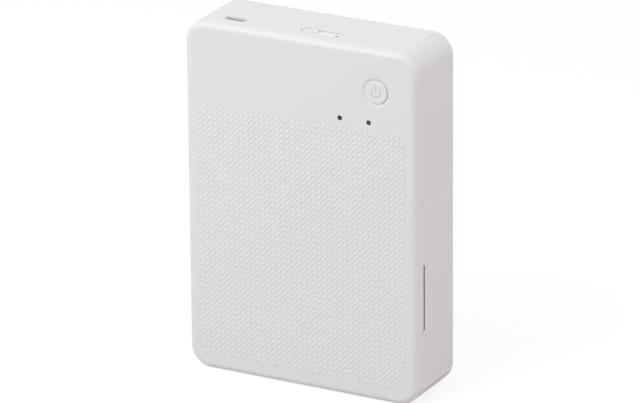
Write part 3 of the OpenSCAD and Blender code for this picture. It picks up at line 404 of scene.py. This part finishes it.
def grow(name, tree, body, slot, **values):
    """Keeps what a geometry tree makes of the given inputs as a plain mesh, and lets it ride on a body."""
    seed = bpy.data.objects.new(name + "_seed", bpy.data.meshes.new(name + "_seed"))
    scene.collection.objects.link(seed)
    maker = seed.modifiers.new("maker", "NODES")
    maker.node_group = tree
    for item in tree.interface.items_tree:
        if item.in_out == "INPUT" and item.name.replace(" ", "_").lower() in values:
            maker[item.identifier] = values[item.name.replace(" ", "_").lower()]
    bpy.context.view_layer.update()
    depsgraph = bpy.context.evaluated_depsgraph_get()
    made = bpy.data.meshes.new_from_object(seed.evaluated_get(depsgraph), depsgraph=depsgraph)
    seed.modifiers.remove(maker)
    bpy.data.objects.remove(seed)
    made.name = name
    grown = bpy.data.objects.new(name, made)
    scene.collection.objects.link(grown)
    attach(grown, body)


grow("wave_relief", wave_tree(), "printer", "casing", place=(FIELD_MIDDLE[0], front_y, FIELD_MIDDLE[1]),
    finish=casing_plastic)

# ---------------------------------------------------------------- power button
# A round cap in white plastic, sunk in a dish, with the usual on-off sign printed
# on it in grey. Behind it are a short black plunger and a metal switch.
SIGN_RADIUS, SIGN_LINE, SIGN_OPENING = 1.95 * MM, 0.14 * MM, 1.25
BAR_MIDDLE, BAR_HALF = 1.55 * MM, 1.35 * MM
SIGN_GREY = (0.47, 0.47, 0.47, 1)
cap_low, cap_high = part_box("power_button")
cap_x, cap_z = (cap_low.x + cap_high.x) / 2, (cap_low.z + cap_high.z) / 2


def blend_colours(tree, share, first, second):
    """A colour between two, by a share from 0 to 1."""
    mixed = node(tree, "ShaderNodeMix", {"Factor": share, "A": first, "B": second}, data_type="RGBA")
    return mixed.outputs["Result"]


def sign_tint(tree, colour):
    """Prints a ring with a gap at its top and a bar in the gap."""
    place = node(tree, "ShaderNodeSeparateXYZ", {0: node(tree, "ShaderNodeTexCoord").outputs["Object"]}).outputs
    x = maths(tree, "SUBTRACT", place["X"], cap_x)
    z = maths(tree, "SUBTRACT", place["Z"], cap_z)
    aside = maths(tree, "ABSOLUTE", x)
    radius = maths(tree, "ADD", maths(tree, "MULTIPLY", x, x), maths(tree, "MULTIPLY", z, z))
    radius = maths(tree, "SQRT", radius)
    off_ring = maths(tree, "ABSOLUTE", maths(tree, "SUBTRACT", radius, SIGN_RADIUS))
    ring = maths(tree, "LESS_THAN", off_ring, SIGN_LINE)
    above = maths(tree, "SUBTRACT", z, maths(tree, "MULTIPLY", aside, SIGN_OPENING))
    ring = maths(tree, "MULTIPLY", ring, maths(tree, "LESS_THAN", above, 0.0))
    along = maths(tree, "ABSOLUTE", maths(tree, "SUBTRACT", z, BAR_MIDDLE))
    bar = maths(tree, "MULTIPLY", maths(tree, "LESS_THAN", aside, SIGN_LINE),
        maths(tree, "LESS_THAN", along, BAR_HALF))
    front = maths(tree, "LESS_THAN", place["Y"], front_y)
    sign = maths(tree, "MULTIPLY", maths(tree, "MAXIMUM", ring, bar), front)
    return blend_colours(tree, sign, colour, SIGN_GREY)


dress(finish("button_plastic", (0.8, 0.79, 0.795, 1), 0.48, mottle=0.02, depth=0.004, tint=sign_tint),
    "power_button")
dress(finish("black_plastic", (0.03, 0.03, 0.032, 1), 0.5, mottle=0.2, depth=0.005), "switch_plunger")

# ---------------------------------------------------------------- indicator windows
# Two glossy black windows beside each other, the ends of light pipes that lead
# from small lamps on the board. A paler spot shows the lens behind each.
LENS_RADIUS, LENS_BLUR = 0.3 * MM, 0.4
LENS_GREY = (0.16, 0.15, 0.145, 1)
PIPE_FLANGE = 1.6 * MM
pipe_low, pipe_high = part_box("light_pipes")
pipe_z = (pipe_low.z + pipe_high.z) / 2


def lens_tint(tree, colour):
    """A paler round spot in the middle of each window."""
    place = node(tree, "ShaderNodeTexCoord").outputs["Object"]
    flat = node(tree, "ShaderNodeVectorMath", {0: place, 1: (1, 0, 1)}, operation="MULTIPLY").outputs[0]
    near = [node(tree, "ShaderNodeVectorMath", {0: flat, 1: (x, 0, pipe_z)}, operation="DISTANCE")
        for x in (pipe_low.x + PIPE_FLANGE, pipe_high.x - PIPE_FLANGE)]
    nearest = maths(tree, "MINIMUM", *(gap.outputs["Value"] for gap in near))
    spot = node(tree, "ShaderNodeMapRange", {"Value": nearest, "From Min": (1 - LENS_BLUR) * LENS_RADIUS,
        "From Max": (1 + LENS_BLUR) * LENS_RADIUS, "To Min": 1.0, "To Max": 0.0}).outputs["Result"]
    return blend_colours(tree, spot, colour, LENS_GREY)


dress(finish("window_black", (0.004, 0.004, 0.004, 1), 0.2, mottle=0.1, depth=0.0005, spread=0.05,
    tint=lens_tint), "light_pipes")
dress(finish("lamp_resin", (0.85, 0.72, 0.35, 1), 0.25, mottle=0.1, depth=0.001, Transmission_Weight=0.3),
    "indicator_lamps")

# ---------------------------------------------------------------- cover lock
# A sliding lock in a slot in the top: a ribbed thumb piece on a flat plate that
# closes the slot from below. A small padlock is printed on the plate.
dress(finish("control_plastic", (0.9, 0.9, 0.9, 1), 0.4, mottle=0.02, patch=60.0, depth=0.003), "cover_lock")
PRINT_THICK, PLATE_DEPTH = 0.02 * MM, 0.95 * MM
SIGN_ACROSS, SIGN_BEHIND = 11.4 * MM, 10.2 * MM
LOCK_BODY = [(-0.95, -0.62), (0.3, -0.62), (0.3, 0.62), (-0.95, 0.62)]
SHACKLE_FOOT, SHACKLE_OUTER, SHACKLE_INNER = 0.35, (0.55, 0.48), (0.33, 0.27)
mark_grey = finish("mark_grey", (0.33, 0.33, 0.33, 1), 0.5, mottle=0.1, patch=400.0, depth=0.002)


def printed(name, outlines, place, material, body):
    """Flat closed outlines, in millimetres seen from above, raised a hair above the surface."""
    mesh = bmesh.new()
    for outline in outlines:
        low = [mesh.verts.new((place[0] + x * MM, place[1] + y * MM, place[2])) for x, y in outline]
        high = [mesh.verts.new(v.co + Vector((0, 0, PRINT_THICK))) for v in low]
        mesh.faces.new(list(reversed(low)))
        mesh.faces.new(high)
        for k in range(len(low)):
            j = (k + 1) % len(low)
            mesh.faces.new((low[k], low[j], high[j], high[k]))
    settle(name, mesh, material, body)


arch = [math.radians(a) for a in range(-90, 91, 18)]
shackle = [(SHACKLE_FOOT + wide * math.cos(a), tall * math.sin(a))
    for (wide, tall), angles in ((SHACKLE_OUTER, arch), (SHACKLE_INNER, arch[::-1])) for a in angles]
sign_place = (SIGN_ACROSS, front_y + SIGN_BEHIND, roof - PLATE_DEPTH)
printed("padlock_sign", [LOCK_BODY, shackle], sign_place, mark_grey, "lock")

# ---------------------------------------------------------------- inner mouldings
# Dark engineering plastic: the lock's guide, the frame behind the cover, the guides
# of the paper's path, the paper tray and the ribbon cassette.
dark_polymer = finish("dark_polymer", (0.045, 0.048, 0.052, 1), 0.55, mottle=0.15, patch=40.0, grain=1800.0,
    depth=0.006)
dress(dark_polymer, "lock_bracket", "inner_frame", "turn_guide", "path_plate", "exit_guide", "paper_tray",
    "ribbon_cassette")

# ---------------------------------------------------------------- charging socket
# A standard reversible socket that opens upwards: a drawn steel shell, a pale
# tongue in its middle, and a row of gilt contacts on each side of the tongue.
TONGUE_WIDE, TONGUE_THICK, TONGUE_PART = 6.72 * MM, 0.82 * MM, 3.0 * MM
TONGUE_BACK, TONGUE_DROP, TONGUE_MIDDLE = 1.58 * MM, 1.8 * MM, 1.48 * MM
CONTACTS, CONTACT_STEP, CONTACT_SIZE = 12, 0.5 * MM, (0.26 * MM, 0.06 * MM, 3.2 * MM)
CONTACT_SIDE, CONTACT_MIDDLE = 0.43 * MM, 2.2 * MM
dress(finish("rolled_steel", (0.8, 0.79, 0.77, 1), 0.35, mottle=0.12, patch=120.0, grain=900.0, depth=0.001,
    stretch=(1, 1, 12), Metallic=1.0), "usb_socket")
gilt = finish("gilt", (0.83, 0.6, 0.25, 1), 0.25, mottle=0.1, patch=300.0, depth=0.001, Metallic=1.0)


def row_tree():
    """Equal blocks in a straight row."""
    tree = bpy.data.node_groups.new("Block row", "GeometryNodeTree")
    for name, kind, value in (("Count", "Int", 2), ("Step", "Vector", (MM, 0, 0)),
            ("Size", "Vector", (MM, MM, MM)), ("Place", "Vector", (0, 0, 0)), ("Finish", "Material", None)):
        socket = tree.interface.new_socket(name, in_out="INPUT", socket_type="NodeSocket" + kind)
        if value is not None:
            socket.default_value = value
    tree.interface.new_socket("Geometry", in_out="OUTPUT", socket_type="NodeSocketGeometry")
    given = node(tree, "NodeGroupInput").outputs
    spots = node(tree, "GeometryNodeMeshLine", {"Count": given["Count"], "Start Location": given["Place"],
        "Offset": given["Step"]}).outputs["Mesh"]
    block = node(tree, "GeometryNodeMeshCube", {"Size": given["Size"]}).outputs["Mesh"]
    blocks = node(tree, "GeometryNodeInstanceOnPoints", {"Points": spots, "Instance": block}).outputs[0]
    blocks = node(tree, "GeometryNodeRealizeInstances", {"Geometry": blocks}).outputs[0]
    blocks = node(tree, "GeometryNodeSetMaterial", {"Geometry": blocks, "Material": given["Finish"]}).outputs[0]
    node(tree, "NodeGroupOutput", {"Geometry": blocks})
    return tree


block_row = row_tree()
socket_low, socket_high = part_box("usb_socket")
tongue_x = (socket_low.x + socket_high.x) / 2
tongue_y = socket_low.y + TONGUE_BACK
tongue_top = roof - TONGUE_DROP
tongue_resin = finish("tongue_resin", (0.6, 0.59, 0.58, 1), 0.4, mottle=0.1, depth=0.002)
grow("socket_tongue", block_row, "printer", "connector", count=2, step=(0, 0, -TONGUE_PART),
    size=(TONGUE_WIDE, TONGUE_THICK, TONGUE_PART), place=(tongue_x, tongue_y, tongue_top - TONGUE_MIDDLE),
    finish=tongue_resin)
first_contact = tongue_x - CONTACT_STEP * (CONTACTS - 1) / 2
for side, y in (("front", -CONTACT_SIDE), ("back", CONTACT_SIDE)):
    grow("socket_contacts_" + side, block_row, "printer", "bearing_metal", count=CONTACTS,
        step=(CONTACT_STEP, 0, 0), size=CONTACT_SIZE,
        place=(first_contact, tongue_y + y, tongue_top - CONTACT_MIDDLE), finish=gilt)

# ---------------------------------------------------------------- feet and hinge pins
# Four round grey rubber feet glued to the back, and two ground steel pins that the
# rear cover turns on. The screws, studs, shafts and the head's coiled springs are
# of the same steel.
dress(finish("foot_rubber", (0.36, 0.36, 0.36, 1), 0.75, mottle=0.12, patch=200.0, grain=2200.0, depth=0.02),
    "rubber_feet")
ground_steel = finish("ground_steel", (0.68, 0.69, 0.71, 1), 0.2, mottle=0.08, patch=60.0, grain=1500.0,
    depth=0.0008, stretch=(1, 1, 8), Metallic=1.0)
dress(ground_steel, "hinge_pins", "frame_screws", "gear_studs", "motor_shaft", "platen_shaft", "feed_roller",
    "pickup_shaft", "head_pivot", "head_springs")

# ---------------------------------------------------------------- circuit board
# A lacquered green board behind the face, with a tinned shield, a radio module,
# ivory connectors and a metal push switch.
TRACK_STEP, TRACK_ROW, TRACK_LINE, TRACK_SHIFT = 3.4 * MM, 1.3 * MM, 0.14 * MM, 0.37
BLACK = (0, 0, 0, 1)


def track_tint(tree, colour):
    """Paler copper tracks under the lacquer, as the edges of square cells."""
    place = node(tree, "ShaderNodeTexCoord").outputs["Object"]
    turned = node(tree, "ShaderNodeMapping", {"Vector": place, "Rotation": (math.pi / 2, 0, 0)}).outputs[0]
    cells = node(tree, "ShaderNodeTexBrick", {"Vector": turned, "Scale": 1.0, "Brick Width": TRACK_STEP,
        "Row Height": TRACK_ROW, "Mortar Size": TRACK_LINE, "Color1": BLACK, "Color2": BLACK, "Mortar": WHITE},
        offset=TRACK_SHIFT)
    return blend_colours(tree, cells.outputs["Fac"], colour, (0.05, 0.3, 0.13, 1))


dress(finish("board_lacquer", (0.02, 0.16, 0.07, 1), 0.25, mottle=0.2, depth=0.002, tint=track_tint),
    "main_board", "radio_module")
dress(finish("ivory_nylon", (0.72, 0.68, 0.56, 1), 0.45, mottle=0.06, depth=0.004), "board_connectors")
dress(finish("tinned_sheet", (0.66, 0.67, 0.68, 1), 0.38, mottle=0.15, patch=90.0, grain=1500.0, depth=0.004,
    Metallic=1.0), "board_shield", "button_switch")

# ---------------------------------------------------------------- battery and flat cable
# A soft battery in a dark film wrap, and the tan flat cable from the board to
# the print head.
CONDUCTOR_SCALE = 314.0
dress(finish("battery_wrap", (0.03, 0.045, 0.075, 1), 0.35, mottle=0.3, patch=70.0, grain=300.0, depth=0.03),
    "battery_pack")


def ribbon_tint(tree, colour):
    """Fine parallel conductors along a flat cable."""
    place = node(tree, "ShaderNodeTexCoord").outputs["Object"]
    lines = node(tree, "ShaderNodeTexWave", {"Vector": place, "Scale": CONDUCTOR_SCALE, "Distortion": 0.0},
        bands_direction="X")
    return blend_colours(tree, lines.outputs["Fac"], colour, (0.42, 0.3, 0.14, 1))


dress(finish("cable_laminate", (0.72, 0.62, 0.42, 1), 0.4, mottle=0.05, depth=0.002, tint=ribbon_tint),
    "head_cable")

# ---------------------------------------------------------------- metal frame
# Zinc-plated sheet steel: the side plates and front wall of the frame, a plate over
# the gears, the paper's pressure plate and the arm of the print head. Brass bushes
# carry the roller shafts.
dress(finish("zinc_plate", (0.56, 0.57, 0.58, 1), 0.42, mottle=0.25, patch=120.0, grain=700.0, depth=0.003,
    Metallic=1.0), "chassis", "gear_plate", "pressure_plate", "head_arm")
dress(finish("turned_brass", (0.72, 0.52, 0.25, 1), 0.28, mottle=0.12, patch=200.0, grain=1200.0, depth=0.001,
    Metallic=1.0), "shaft_bushes", "motor_pinion")

# ---------------------------------------------------------------- drive
# A small can motor with a brass pinion, and a train of moulded gears in natural
# white resin that turn the rollers and wind up the ribbon. The spools are of the
# same resin.
dress(finish("motor_can", (0.5, 0.51, 0.53, 1), 0.34, mottle=0.1, patch=100.0, grain=900.0, depth=0.002,
    stretch=(1, 1, 0.1), Metallic=1.0), "drive_motor")
dress(finish("gear_resin", (0.82, 0.81, 0.74, 1), 0.4, mottle=0.05, patch=80.0, grain=1500.0, depth=0.004),
    "reduction_gear", "idler_gear_a", "idler_gear_b", "platen_gear", "feed_gear", "pickup_gear", "take_up_gear",
    "take_up_spool", "supply_spool")

# ---------------------------------------------------------------- rollers
# The platen and the two pickup tyres are ground black rubber; the pinch roller is
# steel with a dark sleeve.
dress(finish("ground_rubber", (0.022, 0.022, 0.024, 1), 0.7, mottle=0.25, patch=150.0, grain=1400.0, depth=0.02,
    stretch=(1, 1, 0.3)), "platen_rubber", "pickup_tyres")
dress(finish("roller_sleeve", (0.09, 0.09, 0.1, 1), 0.5, mottle=0.1, patch=90.0, grain=1600.0, depth=0.004),
    "pinch_roller")

# ---------------------------------------------------------------- ribbon
# Thin dyed film wound on two cores in a dark cassette. The fresh roll shows its
# yellow panel, and the used one is dark.
RING_STRETCH = (40, 40, 900)


def wound_tint(tree, colour):
    """Faint rings along a roll where the film's edges lie unevenly."""
    place = node(tree, "ShaderNodeTexCoord").outputs["Object"]
    drawn = node(tree, "ShaderNodeVectorMath", {0: place, 1: RING_STRETCH}, operation="MULTIPLY").outputs[0]
    rings = node(tree, "ShaderNodeTexNoise", {"Vector": drawn, "Scale": 1.0, "Detail": 2.0})
    return blend_colours(tree, rings.outputs["Fac"], colour, (0.02, 0.015, 0.05, 1))


dress(finish("wound_film", (0.12, 0.03, 0.09, 1), 0.18, mottle=0.2, depth=0.002, tint=wound_tint),
    "take_up_ribbon")
dress(finish("fresh_film", (0.55, 0.42, 0.05, 1), 0.16, mottle=0.1, depth=0.002), "supply_ribbon")
dress(finish("single_film", (0.2, 0.05, 0.12, 1), 0.15, mottle=0.15, depth=0.001, Transmission_Weight=0.3),
    "ribbon_film")

# ---------------------------------------------------------------- print head
# A glazed ceramic strip on an extruded aluminium block that a sprung steel arm
# presses towards the platen.
dress(finish("extruded_aluminium", (0.72, 0.73, 0.74, 1), 0.35, mottle=0.1, patch=60.0, grain=900.0,
    depth=0.003, stretch=(1, 1, 0.05), Metallic=1.0), "head_heatsink")
dress(finish("glazed_ceramic", (0.8, 0.77, 0.66, 1), 0.12, mottle=0.04, depth=0.001, Coat_Weight=0.4),
    "head_ceramic")

# ---------------------------------------------------------------- paper
# A stack of coated sheets in a tray inside the rear cover, pressed forward by a
# plate on two bowed leaf springs. The stack's edges show the single sheets.
SHEET_SCALE, SHEET_WOBBLE, SHEET_SHADE = 1050.0, 0.4, 0.3


def sheet_tint(tree, colour):
    """Thin shadow lines between the sheets, seen on the stack's edges."""
    place = node(tree, "ShaderNodeTexCoord").outputs["Object"]
    lines = node(tree, "ShaderNodeTexWave", {"Vector": place, "Scale": SHEET_SCALE, "Distortion": SHEET_WOBBLE,
        "Detail": 2.0}, bands_direction="Y", wave_profile="SAW")
    normal = node(tree, "ShaderNodeNewGeometry").outputs["True Normal"]
    facing = maths(tree, "ABSOLUTE", node(tree, "ShaderNodeSeparateXYZ", {0: normal}).outputs["Y"])
    edge = maths(tree, "LESS_THAN", facing, 0.5)
    dark = maths(tree, "MULTIPLY", maths(tree, "MULTIPLY", lines.outputs["Fac"], edge), SHEET_SHADE)
    return blend_colours(tree, dark, colour, (0.5, 0.5, 0.5, 1))


dress(finish("coated_paper", (0.88, 0.88, 0.87, 1), 0.35, mottle=0.02, grain=1200.0, depth=0.002,
    tint=sheet_tint), "paper_stack")

# ---------------------------------------------------------------- leaf springs
# Two bowed strips of spring steel behind the pressure plate, merged into one copy that
# rides with the cover. They flatten against the back wall as the plate is pushed in, but this copy keeps its
# bow.
MERGE = 0.001 * MM
spring_steel = finish("spring_steel", (0.5, 0.5, 0.52, 1), 0.22, mottle=0.1, patch=150.0, grain=900.0,
    depth=0.001, Metallic=1.0)
dress(spring_steel, "pressure_springs")
leaves = bmesh.new()
leaves.from_mesh(nodes["pressure_springs"].data)
bmesh.ops.remove_doubles(leaves, verts=leaves.verts, dist=MERGE)
leaf_shape = bpy.data.meshes.new("leaf_springs")
leaves.to_mesh(leaf_shape)
leaves.free()
leaf_shape.materials.append(spring_steel)
leaf_springs = bpy.data.objects.new("leaf_springs", leaf_shape)
scene.collection.objects.link(leaf_springs)
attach(leaf_springs, "cover")
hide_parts("pressure_springs")
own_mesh(leaf_springs)
